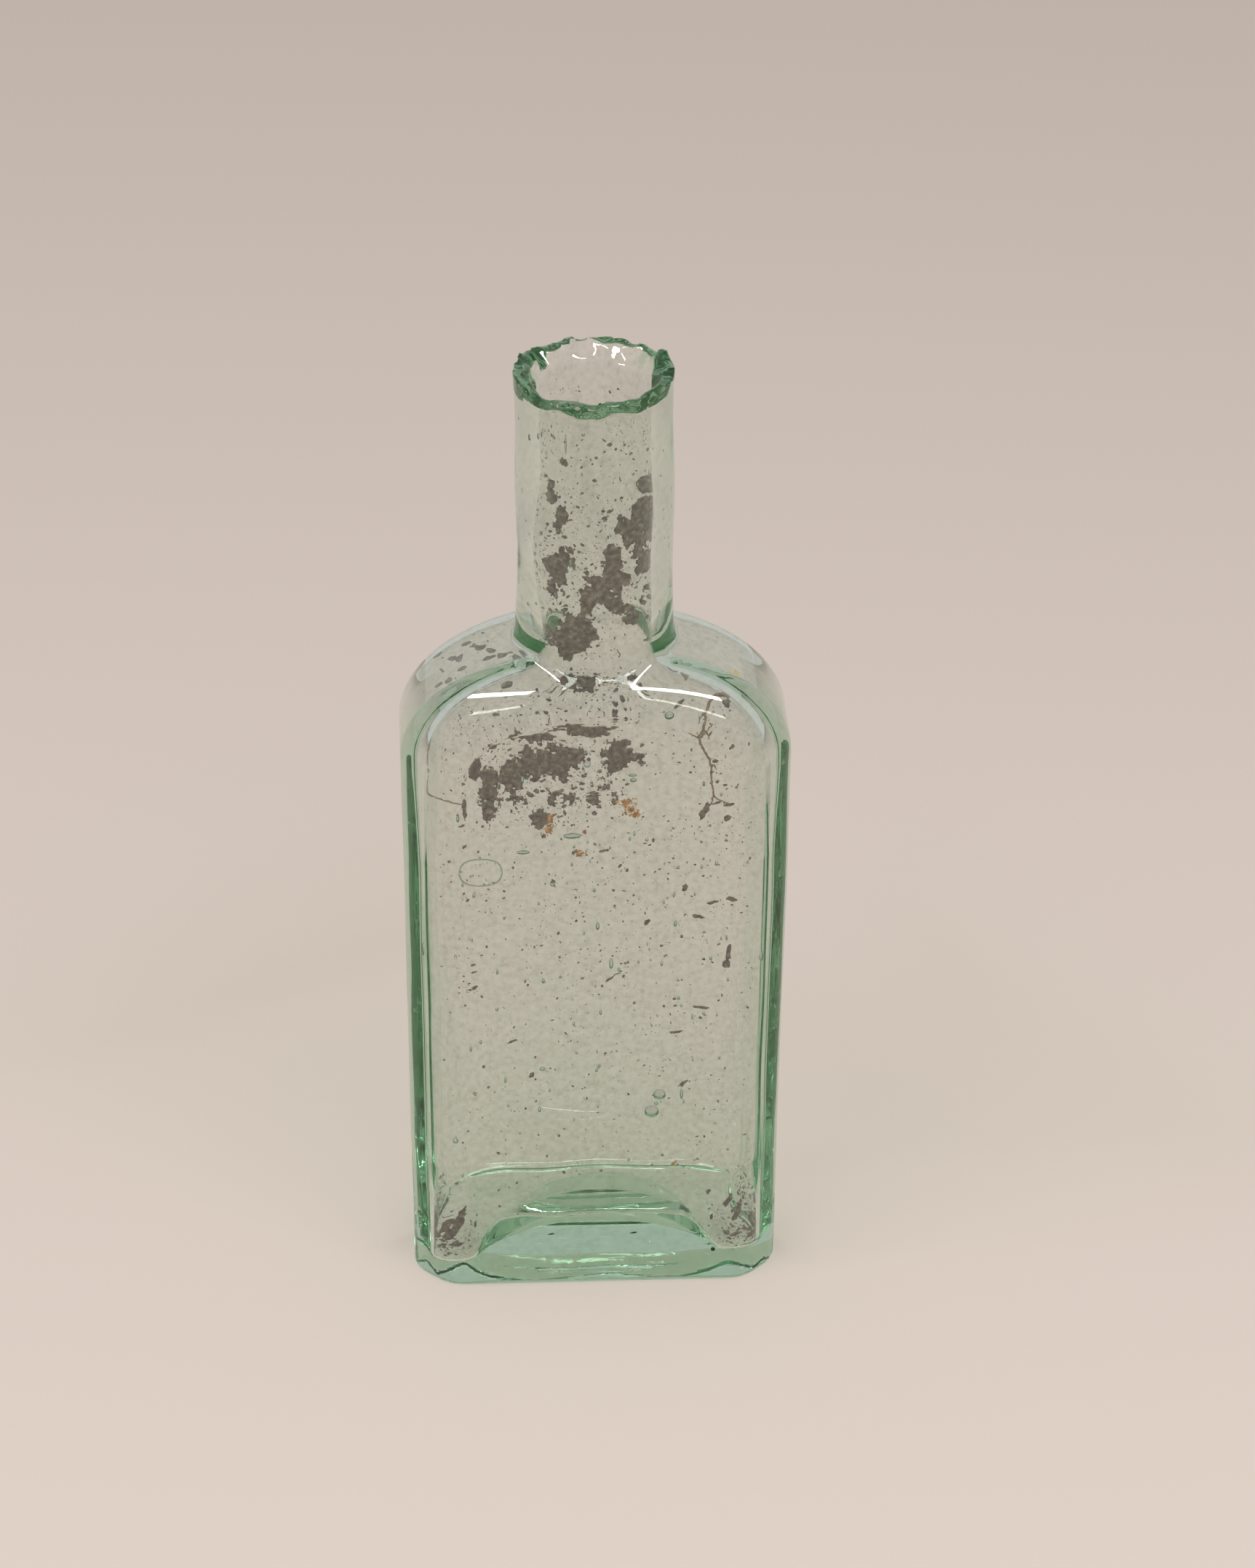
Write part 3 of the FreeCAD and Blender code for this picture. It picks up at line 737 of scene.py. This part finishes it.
# Single flakes: place, half length, half width, and tilt from upright.
WALL_FLAKES = [
    (10.1, -9.0, 54.5, 0.55, 0.40, 0.2), (13.2, -8.9, 52.4, 0.75, 0.22, 1.3),
    (15.6, -8.6, 52.9, 0.75, 0.30, 1.9), (15.3, -8.7, 45.4, 1.5, 0.32, 0.1),
    (15.0, -8.7, 43.9, 0.6, 0.6, 1.0), (5.8, -8.6, 49.9, 0.5, 0.3, 0.6),
    (-5.1, -8.7, 55.6, 0.40, 0.35, 0.0), (-2.7, -8.7, 59.6, 0.35, 0.22, 0.9),
    (-2.2, -8.7, 59.2, 0.30, 0.2, 1.2), (0.6, -8.8, 59.7, 0.45, 0.22, 1.3),
    (1.6, -8.6, 42.2, 0.75, 0.16, 0.9), (2.3, -8.6, 42.8, 0.55, 0.08, 1.3),
    (15.1, -8.6, 73.2, 0.35, 0.25, 1.2), (13.3, -9.0, 71.6, 0.42, 0.25, 1.3),
    (14.4, -6.5, 77.2, 0.5, 0.45, 0.4), (12.1, -9.0, 64.6, 0.95, 0.42, 0.5),
    (12.5, -9.0, 65.5, 0.65, 0.38, 0.2), (14.9, -9.0, 63.9, 0.70, 0.40, 0.9),
    (14.9, -9.0, 65.7, 0.80, 0.22, 1.4), (13.6, -9.0, 66.0, 0.60, 0.16, 1.2),
    (11.8, -8.2, 75.2, 0.8, 0.16, 0.2), (-16.1, -1.5, 77.2, 0.50, 0.45, 0.0),
    (-14.7, -0.7, 78.2, 0.62, 0.34, 0.3), (-17.6, -1.0, 77.0, 0.6, 0.25, 0.2),
    (-11.6, -1.0, 79.4, 0.75, 0.40, 0.2), (-9.2, -1.4, 80.0, 0.55, 0.22, 0.1),
    (-7.0, -1.8, 80.4, 0.85, 0.50, 1.2), (-9.9, -5.6, 79.0, 0.70, 0.40, 0.9),
    (-11.3, -7.6, 77.0, 0.50, 0.22, 1.3), (8.6, -3.6, 80.0, 0.6, 0.35, 0.6),
    (9.6, -4.6, 79.3, 0.95, 0.35, 1.0), (9.0, -7.4, 77.8, 0.75, 0.30, 0.9),
    (-19.6, -4.9, 72.3, 0.9, 0.28, 0.1), (-19.6, -4.9, 70.4, 1.1, 0.22, 0.0),
    (-19.4, -5.4, 68.9, 0.4, 0.30, 0.2), (-15.6, -8.8, 63.6, 0.45, 0.16, 1.2),
    (-15.3, -8.8, 60.8, 0.35, 0.22, 0.8), (-6.2, -8.7, 61.9, 0.35, 0.30, 0.0),
    (9.8, -9.0, 47.8, 0.25, 0.20, 0.5), (-14.4, -8.8, 44.6, 0.30, 0.14, 1.3),
    (-14.3, -8.8, 43.6, 0.40, 0.14, 1.3), (-14.3, -8.8, 41.4, 0.42, 0.24, 1.1),
    (10.2, -8.9, 27.4, 0.7, 0.30, 0.9), (-9.9, -8.7, 33.8, 0.7, 0.18, 1.2),
    (9.2, -8.8, 34.6, 0.9, 0.2, 1.4), (12.4, 8.7, 40.0, 0.8, 0.24, 1.2), (13.0, 8.6, 27.0, 1.0, 0.2, 1.3),
    (-7.6, -8.7, 29.0, 0.4, 0.3, 0.4), (3.0, 8.6, 56.2, 0.5, 0.4, 0.3), (-6.8, 8.6, 57.4, 0.5, 0.3, 0.7),
    (2.6, -8.6, 57.6, 0.3, 0.2, 0.7), (3.4, -8.6, 57.0, 0.25, 0.2, 0.2), (6.4, -8.6, 61.0, 0.3, 0.2, 0.2),
    (-0.4, -8.6, 64.8, 0.3, 0.3, 0.4), (-16.7, 6.2, 75.8, 0.60, 0.40, 0.3),
    (-15.3, 3.0, 77.0, 0.70, 0.40, 0.8), (-13.8, 4.5, 78.1, 0.60, 0.35, 0.2),
    (-12.9, 3.0, 78.6, 0.80, 0.30, 1.1), (-12.3, 2.1, 78.9, 0.70, 0.50, 0.5),
    (-11.2, 0.4, 79.4, 0.90, 0.35, 1.0), (-10.1, -1.4, 79.8, 0.80, 0.50, 0.3),
    (-14.6, 2.0, 77.6, 0.60, 0.50, 1.3), (-8.4, -2.6, 80.2, 0.7, 0.45, 0.9),
]
# The same for the left foot corner, -1, and the right one, 1.
SILT_FLAKES = {
    -1: [
        (-18.4, -5.6, 6.4, 1.6, 0.75, 0.15), (-18.2, -5.9, 8.0, 1.1, 0.35, 0.3),
        (-16.2, -7.8, 8.0, 1.9, 0.65, 0.4), (-15.8, -8.0, 9.9, 0.9, 0.3, 0.6),
        (-16.8, -7.1, 6.2, 1.0, 0.6, 0.2), (-18.3, -5.5, 6.6, 1.5, 0.65, 0.2),
        (-17.1, -7.2, 7.3, 1.7, 0.50, 0.4), (-16.1, -8.0, 8.8, 1.3, 0.42, 0.6),
        (-17.9, -6.2, 8.4, 0.6, 0.3, 0.1), (-18.6, -4.0, 5.0, 0.7, 0.5, 1.2),
        (-17.0, -6.0, 5.6, 0.6, 0.4, 0.7), (-15.9, -6.6, 5.0, 0.8, 0.35, 1.2),
        (-18.7, -2.0, 3.8, 0.6, 0.5, 0.3),
    ],
    1: [
        (15.6, -8.2, 10.6, 1.1, 0.3, 0.5), (16.5, -7.7, 8.7, 1.2, 0.35, 0.3),
        (18.2, -5.9, 6.0, 1.1, 0.45, 0.1), (18.1, -6.3, 9.6, 0.75, 0.35, 0.2),
        (15.9, -8.4, 10.7, 0.5, 0.22, 0.8), (13.4, -8.9, 12.1, 0.42, 0.25, 0.4),
        (18.4, -5.5, 4.6, 0.6, 0.5, 0.3), (17.6, -6.6, 5.0, 0.9, 0.3, 1.1),
        (16.2, -7.4, 5.6, 0.7, 0.25, 1.3), (18.0, -4.0, 4.4, 0.8, 0.4, 1.0),
        (16.8, -5.0, 4.2, 0.5, 0.4, 0.6),
    ],
}
# Clusters of rust grains on the front wall: place x, z and half sizes.
RUST_SPOTS = [
    (3.3, 65.7, 1.0, 0.9), (4.2, 64.6, 0.8, 0.6), (3.6, 66.3, 0.9, 0.4), (-5.5, 63.9, 0.4, 1.2),
    (-5.7, 62.6, 0.4, 0.5), (-2.0, 59.4, 0.6, 0.4),
]
RUST_FLAKES = [
    (-1.5, -8.8, 62.3, 0.30, 0.28, 0.0), (9.3, -8.6, 16.2, 0.5, 0.22, 0.8),
    (4.4, -8.5, 64.4, 0.5, 0.3, 1.1), (3.3, -8.5, 66.0, 0.5, 0.3, 0.8), (3.9, -8.5, 65.1, 0.4, 0.3, 0.2),
    (-5.5, -8.6, 64.2, 0.45, 0.2, 0.1),
]
# Patches of the amber film, each like a single flake.
AMBER_SPOTS = [
    (14.9, -2.9, 77.6, 0.9, 0.5, 0.9), (14.5, -4.0, 77.8, 0.8, 0.45, 0.5),
    (15.3, -1.9, 77.2, 0.7, 0.4, 1.2),
]
# Points along each thread.
ROOT_STEM = [
    (15.1, -4.9, 77.6), (13.6, -5.7, 77.8), (12.7, -6.4, 77.7), (12.0, -7.5, 76.7), (11.8, -8.2, 75.4),
    (11.4, -8.5, 74.6), (12.1, -8.9, 73.0), (12.8, -9.1, 71.1), (13.0, -9.1, 69.0), (13.2, -9.2, 66.9),
]
ROOT_TWIGS = [
    [(13.2, -9.2, 66.9), (12.9, -9.1, 65.8), (12.0, -9.0, 64.5)],
    [(13.2, -9.2, 66.9), (14.0, -9.1, 66.3), (15.0, -9.1, 65.8)],
    [(11.8, -8.2, 75.4), (12.3, -8.2, 75.0), (12.6, -8.2, 74.4)],
    [(11.4, -8.5, 74.6), (10.8, -8.4, 75.0), (10.2, -8.4, 75.3)],
    [(12.0, -7.5, 76.7), (11.4, -7.7, 76.4), (11.2, -7.9, 75.9)],
    [(11.4, -8.5, 74.6), (12.0, -8.4, 75.0), (12.6, -8.3, 75.6), (12.9, -8.3, 75.9)],
    [(12.8, -9.1, 71.1), (13.3, -9.1, 70.9), (13.5, -9.1, 70.5)],
]
HAIR = [
    (-19.6, -5.7, 68.4), (-19.3, -6.2, 67.6), (-18.9, -6.7, 67.1), (-17.5, -8.0, 66.9),
    (-15.7, -8.8, 66.5),
]


def build_neck_crust(material):
    """Crust on the bore's front, with grains all round."""
    ragged = crust_layer(NECK_CRUST, neck_place, seed=11, patch_size=1.7, thickness=0.30)

    def density(u, v):
        return 0.25 + 0.75 * np.clip(spot_weight(u, v, [(-1, 95, 7, 13, 1.0)]), 0, 1)

    places = scatter(neck_place, (-19, 19), (84, 112), count=5200, seed=12, density=density)
    grains = random_flakes(places, (0.05, 0.34), seed=13, sides=5)
    return new_object("neck_crust_detail", *join_meshes([ragged, grains]), material, smooth=False)


def build_shoulder_crust(material):
    """Crust on the back wall under the shoulder, with grains round it."""
    ragged = crust_layer(BACK_CRUST, back_place, seed=14, patch_size=1.5, thickness=0.28)

    def density(u, v):
        return np.clip(spot_weight(u, v, [(-5, 61, 11, 9, 1.0), (0, 72, 9, 5, 1.0)]), 0, 1)

    places = scatter(back_place, (-16, 16), (50, 78), count=6000, seed=15, density=density)
    grains = random_flakes(places, (0.05, 0.42), seed=16, sides=5)
    return new_object("shoulder_crust_detail", *join_meshes([ragged, grains]), material, smooth=False)


def build_wall_flecks(material):
    """Single flakes, and fine specks that thin out towards the foot."""
    parts = [listed_flakes(WALL_FLAKES, FLAKE_THICKNESS, seed=17, sides=13)]

    def density(u, v):
        return np.clip(0.25 + 0.75 * (v - 10) / 60, 0, 1) * (0.55 + 0.45 * np.tanh(2 * cloud(u, v, 18, 7.0)))

    for place, half_width, seed in ((front_place, 18, 19), (back_place, 17, 21)):
        places = scatter(place, (-half_width, half_width), (6, 79), 4800, seed, density)
        parts.append(random_flakes(places, (0.045, 0.26), seed + 1, sides=5))
    return new_object("wall_flecks_detail", *join_meshes(parts), material, smooth=False)


def build_rust(material):
    """Rust flakes and clusters of rust grains on the front wall."""
    big = listed_flakes(RUST_FLAKES, RUST_THICKNESS, seed=23, sides=11)
    rng = np.random.default_rng(24)
    places = []
    for x, z, half_x, half_z in RUST_SPOTS:
        for _ in range(GRAINS_PER_RUST_SPOT):
            across = half_x * rng.normal() * RUST_SPREAD
            up = half_z * rng.normal() * RUST_SPREAD
            places.append((x + across, RUST_START, z + up))
    small = random_flakes(places, (0.07, 0.32), seed=25, sides=7)
    return new_object("rust_grains_detail", *join_meshes([big, small]), material, smooth=False)


def build_heel_silt(name, side, material):
    """Flakes and silt in the left foot corner, side -1, or the right one, 1."""
    big = listed_flakes(SILT_FLAKES[side], FLAKE_THICKNESS, seed=26 + side, sides=13)
    rng = np.random.default_rng(30 + side)
    x, y, z = [rng.normal(middle, spread, GRAINS_PER_HEEL) for middle, spread in HEEL_SPREAD]
    places = np.stack([side * x, y, np.abs(z) + HEEL_HEIGHT], axis=-1)
    grains = random_flakes(places, (0.05, 0.30), seed=34 + side)
    return new_object(name + "_detail", *join_meshes([big, grains]), material, smooth=False)


def build_rootlet(material):
    """The rootlet's stem and its side twigs."""
    parts = [thread(ROOT_STEM, 0.17, 0.11, seed=40)]
    for index, twig in enumerate(ROOT_TWIGS):
        parts.append(thread(twig, 0.12, 0.05, seed=41 + index, sides=6))
    return new_object("rootlet_detail", *join_meshes(parts), material)


def build_hair(material):
    """The single fibre."""
    return new_object("hair_fibre_detail", *thread(HAIR, 0.09, 0.07, seed=60), material)


def build_amber(material):
    """A very thin film in overlapping patches."""
    rows = np.array(AMBER_SPOTS)
    thickness = np.full(len(rows), AMBER_THICKNESS)
    film = flakes(rows[:, :3], rows[:, 3], rows[:, 4], thickness, rows[:, 5], seed=61, sides=17)
    return new_object("amber_stain_detail", *film, material, smooth=False)


# Bubbles inside the glass: place and half sizes.
LARGE_BUBBLES = [
    (-8.6, -9.8, 60.2, 0.75, 0.20, 0.28), (0.0, -9.8, 50.0, 0.24, 0.24, 0.55),
    (1.6, -9.8, 44.8, 0.26, 0.22, 0.75), (2.5, -9.7, 43.9, 0.2, 0.2, 0.3),
    (-3.0, -9.8, 62.3, 1.0, 0.2, 0.4), (8.0, -9.2, 77.6, 0.55, 0.25, 0.45),
    (7.4, -9.8, 26.4, 0.75, 0.35, 0.75), (6.5, -9.7, 24.0, 0.85, 0.38, 0.85),
    (7.0, -9.8, 25.2, 0.25, 0.2, 0.3), (-6.4, -9.8, 30.4, 0.35, 0.2, 0.3),
    (10.0, -9.8, 26.4, 0.2, 0.2, 0.7), (4.0, -9.8, 69.6, 0.4, 0.2, 0.3),
    (-16.6, -9.0, 20.2, 0.3, 0.2, 0.4), (-5.2, -9.8, 55.8, 0.30, 0.15, 0.30),
    (3.9, -9.7, 70.2, 0.5, 0.2, 0.22), (-19.9, -7.6, 46.0, 0.2, 0.2, 0.9),
    (18.9, -8.4, 44.6, 0.3, 0.2, 0.7), (-3.5, -7.2, 111.4, 0.10, 0.10, 1.3),
    (-0.5, 9.8, 61.3, 0.45, 0.2, 0.6), (-4.6, 9.8, 61.6, 0.5, 0.2, 0.6),
]


def bubble_mesh(bubbles, rings, sides):
    """Ellipsoid shells whose surfaces face the air inside them."""
    vertices = []
    faces = []
    for x, y, z, a, b, c in bubbles:
        first = len(vertices)
        vertices.append((x, y, z + c))
        for ring in range(1, rings):
            polar = math.pi * ring / rings
            for k in range(sides):
                turn = 2 * math.pi * k / sides
                vertices.append((x + a * math.sin(polar) * math.cos(turn),
                                 y + b * math.sin(polar) * math.sin(turn), z + c * math.cos(polar)))
        last = len(vertices)
        vertices.append((x, y, z - c))
        for k in range(sides):
            n = (k + 1) % sides
            faces.append((first, first + 1 + n, first + 1 + k))
            faces.append((last, last - sides + k, last - sides + n))
            for ring in range(rings - 2):
                low = first + 1 + ring * sides
                faces.append((low + k, low + n, low + sides + n, low + sides + k))
    return np.array(vertices), faces


SMALL_BUBBLE_COUNT = 420
SHARE_IN_NECK = 0.25
NECK_BUBBLE_HEIGHTS = (86, 113)
NECK_BUBBLE_RING = (7.1, 8.2)       # distance from the neck's axis
BODY_BUBBLE_SIDES = (-16.5, 16.5)
BODY_BUBBLE_HEIGHTS = (12, 74)
BODY_BUBBLE_DEPTH = (9.35, 10.2)    # distance in front of or behind the middle
# The blister on the front wall: centre, half width, half height and the thickness of its edge.
BLISTER = ((-13.5, -9.3, 57.4), 2.45, 1.9, 0.10)


def small_bubbles():
    """Seeds strewn through the walls of the body and neck, drawn out upwards."""
    rng = np.random.default_rng(70)
    bubbles = []
    for _ in range(SMALL_BUBBLE_COUNT):
        width = 0.05 + 0.16 * rng.random() ** 2.5
        height = width * rng.uniform(1.0, 2.6)
        if rng.random() < SHARE_IN_NECK:
            angle = rng.uniform(0, 2 * math.pi)
            z = rng.uniform(*NECK_BUBBLE_HEIGHTS)
            ring = rng.uniform(*NECK_BUBBLE_RING)
            x = ring * math.sin(angle) + NECK_LEAN * (z - SHOULDER_TOP)
            y = -ring * math.cos(angle)
        else:
            x = rng.uniform(*BODY_BUBBLE_SIDES)
            z = rng.uniform(*BODY_BUBBLE_HEIGHTS)
            y = rng.choice([-1, 1]) * rng.uniform(*BODY_BUBBLE_DEPTH)
        bubbles.append((x, y, z, width, width, height))
    return bubbles


def ring_bubble(centre, half_width, half_height, radius, turns=64, sides=8):
    """A thin bubble that closes on itself in an oval, as round a blister."""
    vertices = []
    faces = []
    for index in range(turns):
        angle = 2 * math.pi * index / turns
        out = np.array([math.cos(angle), 0, math.sin(angle)])
        middle = np.array(centre) + out * (half_width, 0, half_height)
        middle[2] += 0.12 * math.sin(3 * angle)
        for k in range(sides):
            turn = 2 * math.pi * k / sides
            vertices.append(middle + radius * (out * math.cos(turn) + np.array([0, math.sin(turn), 0])))
            n = (index + 1) % turns
            m = (k + 1) % sides
            faces.append((index * sides + k, n * sides + k, n * sides + m, index * sides + m))
    return np.array(vertices), faces


def build_bubbles(material):
    """All the air in the glass, as shells that face inwards."""
    parts = [
        bubble_mesh(LARGE_BUBBLES, rings=14, sides=28),
        bubble_mesh(small_bubbles(), rings=6, sides=9),
        ring_bubble(*BLISTER),
    ]
    piece = new_object("bubbles", *join_meshes(parts), material)
    face_outwards(piece, outwards=False)
    return piece


# --------------------------------------------------
# Camera, lights and floor
# --------------------------------------------------
CAMERA_ELEVATION = math.radians(30.43)
CAMERA_TURN = math.radians(-3.16)
CAMERA_ROLL = math.radians(-0.45)
CAMERA_DISTANCE = 682.7     # millimetres, as are the next three
CAMERA_AIM = (0, 0, 50)
CAMERA_SIDE_SHIFT = 3.886
CAMERA_UP_SHIFT = 11.403
SENSOR_HEIGHT = 36.0
LENS = 133.6                # focal length in millimetres
LIGHT_AIM = (0, 0, 0.06)    # metres, as are the lamps' places and sizes
LIGHT_COLOR = (1.0, 0.98, 0.955)
WORLD_COLOR = (1.0, 0.97, 0.94, 1)
WORLD_STRENGTH = 0.635
FLOOR_SIZE = 6
FLOOR_DROP = 0.0002         # the floor lies this far under the bottle
GLASS_BOUNCES = 96
CLEAR_BOUNCES = 32


def place_camera():
    """A long lens, 30 degrees above the table and 3 degrees round to the left."""
    right = Vector((1, 0, 0))
    up = Vector((0, math.sin(CAMERA_ELEVATION), math.cos(CAMERA_ELEVATION)))
    forward = Vector((0, math.cos(CAMERA_ELEVATION), -math.sin(CAMERA_ELEVATION)))
    centre = Vector(CAMERA_AIM) - forward * CAMERA_DISTANCE + right * CAMERA_SIDE_SHIFT + up * CAMERA_UP_SHIFT
    rolled_right = right * math.cos(CAMERA_ROLL) - up * math.sin(CAMERA_ROLL)
    rolled_up = right * math.sin(CAMERA_ROLL) + up * math.cos(CAMERA_ROLL)
    columns = (rolled_right, rolled_up, -forward)
    place = Matrix.Identity(4)
    for column, direction in enumerate(columns):
        for row in range(3):
            place[row][column] = direction[row]
    for row in range(3):
        place[row][3] = centre[row] * 0.001
    camera = bpy.data.cameras.new("camera")
    camera.sensor_fit = "VERTICAL"
    camera.sensor_height = SENSOR_HEIGHT
    camera.lens = LENS
    camera.clip_start = 0.01
    holder = bpy.data.objects.new("camera", camera)
    bpy.context.scene.collection.objects.link(holder)
    holder.matrix_world = Matrix.Rotation(CAMERA_TURN, 4, "Z") @ place
    bpy.context.scene.camera = holder


def add_soft_light(name, place, width, height, power):
    """A long thin lamp that shines on the bottle."""
    light = bpy.data.lights.new(name, "AREA")
    light.shape = "RECTANGLE"
    light.size = width
    light.size_y = height
    light.energy = power
    light.color = LIGHT_COLOR
    holder = bpy.data.objects.new(name, light)
    bpy.context.scene.collection.objects.link(holder)
    holder.location = place
    holder.rotation_euler = (Vector(LIGHT_AIM) - Vector(place)).to_track_quat("-Z", "Y").to_euler()


def set_stage():
    """Soft light from all round, two lamps, and the table."""
    world = bpy.data.worlds.new("studio")
    bpy.context.scene.world = world
    world.use_nodes = True
    background = world.node_tree.nodes["Background"]
    background.inputs["Color"].default_value = WORLD_COLOR
    background.inputs["Strength"].default_value = WORLD_STRENGTH
    add_soft_light("light_left", (-0.46, -0.34, 0.78), width=0.67, height=0.06, power=5.0)
    add_soft_light("light_right", (0.31, -0.50, 0.66), width=0.77, height=0.06, power=5.2)
    bpy.ops.mesh.primitive_plane_add(size=FLOOR_SIZE, location=(0, 0, -FLOOR_DROP))
    floor = bpy.context.object
    floor.name = "floor"
    floor.data.materials.append(make_floor_material())
    bpy.context.scene.view_settings.view_transform = "Standard"
    cycles = bpy.context.scene.cycles
    cycles.max_bounces = GLASS_BOUNCES
    cycles.transmission_bounces = GLASS_BOUNCES
    cycles.glossy_bounces = GLASS_BOUNCES
    cycles.transparent_max_bounces = CLEAR_BOUNCES


# --------------------------------------------------
# Assembly
# --------------------------------------------------
place_camera()
set_stage()
glass = build_glass(make_glass_material("aqua_glass", tinted=True))
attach(glass, "root")
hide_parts("bottle_glass")

bubbles = build_bubbles(make_glass_material("bubble_wall", tinted=False))
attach(bubbles, "root")

soil = make_dirt_material("dark_soil", SOIL_STOPS, 0.55)
rust = make_dirt_material("rust", RUST_STOPS, 0.35)
root = make_dirt_material("root", ROOT_STOPS, 0.5)
amber = make_dirt_material("amber_film", AMBER_STOPS, 0.6)

for piece, node, slot in (
        (build_neck_crust(soil), "neck_crust", "dark_soil"),
        (build_shoulder_crust(soil), "shoulder_crust", "dark_soil"),
        (build_wall_flecks(soil), "wall_flecks", "dark_soil"),
        (build_heel_silt("heel_silt_left", -1, soil), "heel_silt_left", "dark_soil"),
        (build_heel_silt("heel_silt_right", 1, soil), "heel_silt_right", "dark_soil"),
        (build_rust(rust), "rust_grains", "rust"),
        (build_rootlet(root), "rootlet", "root"),
        (build_hair(root), "hair_fibre", "root"),
        (build_amber(amber), "amber_stain", "amber_film")):
    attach(piece, "root")
    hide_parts(node)
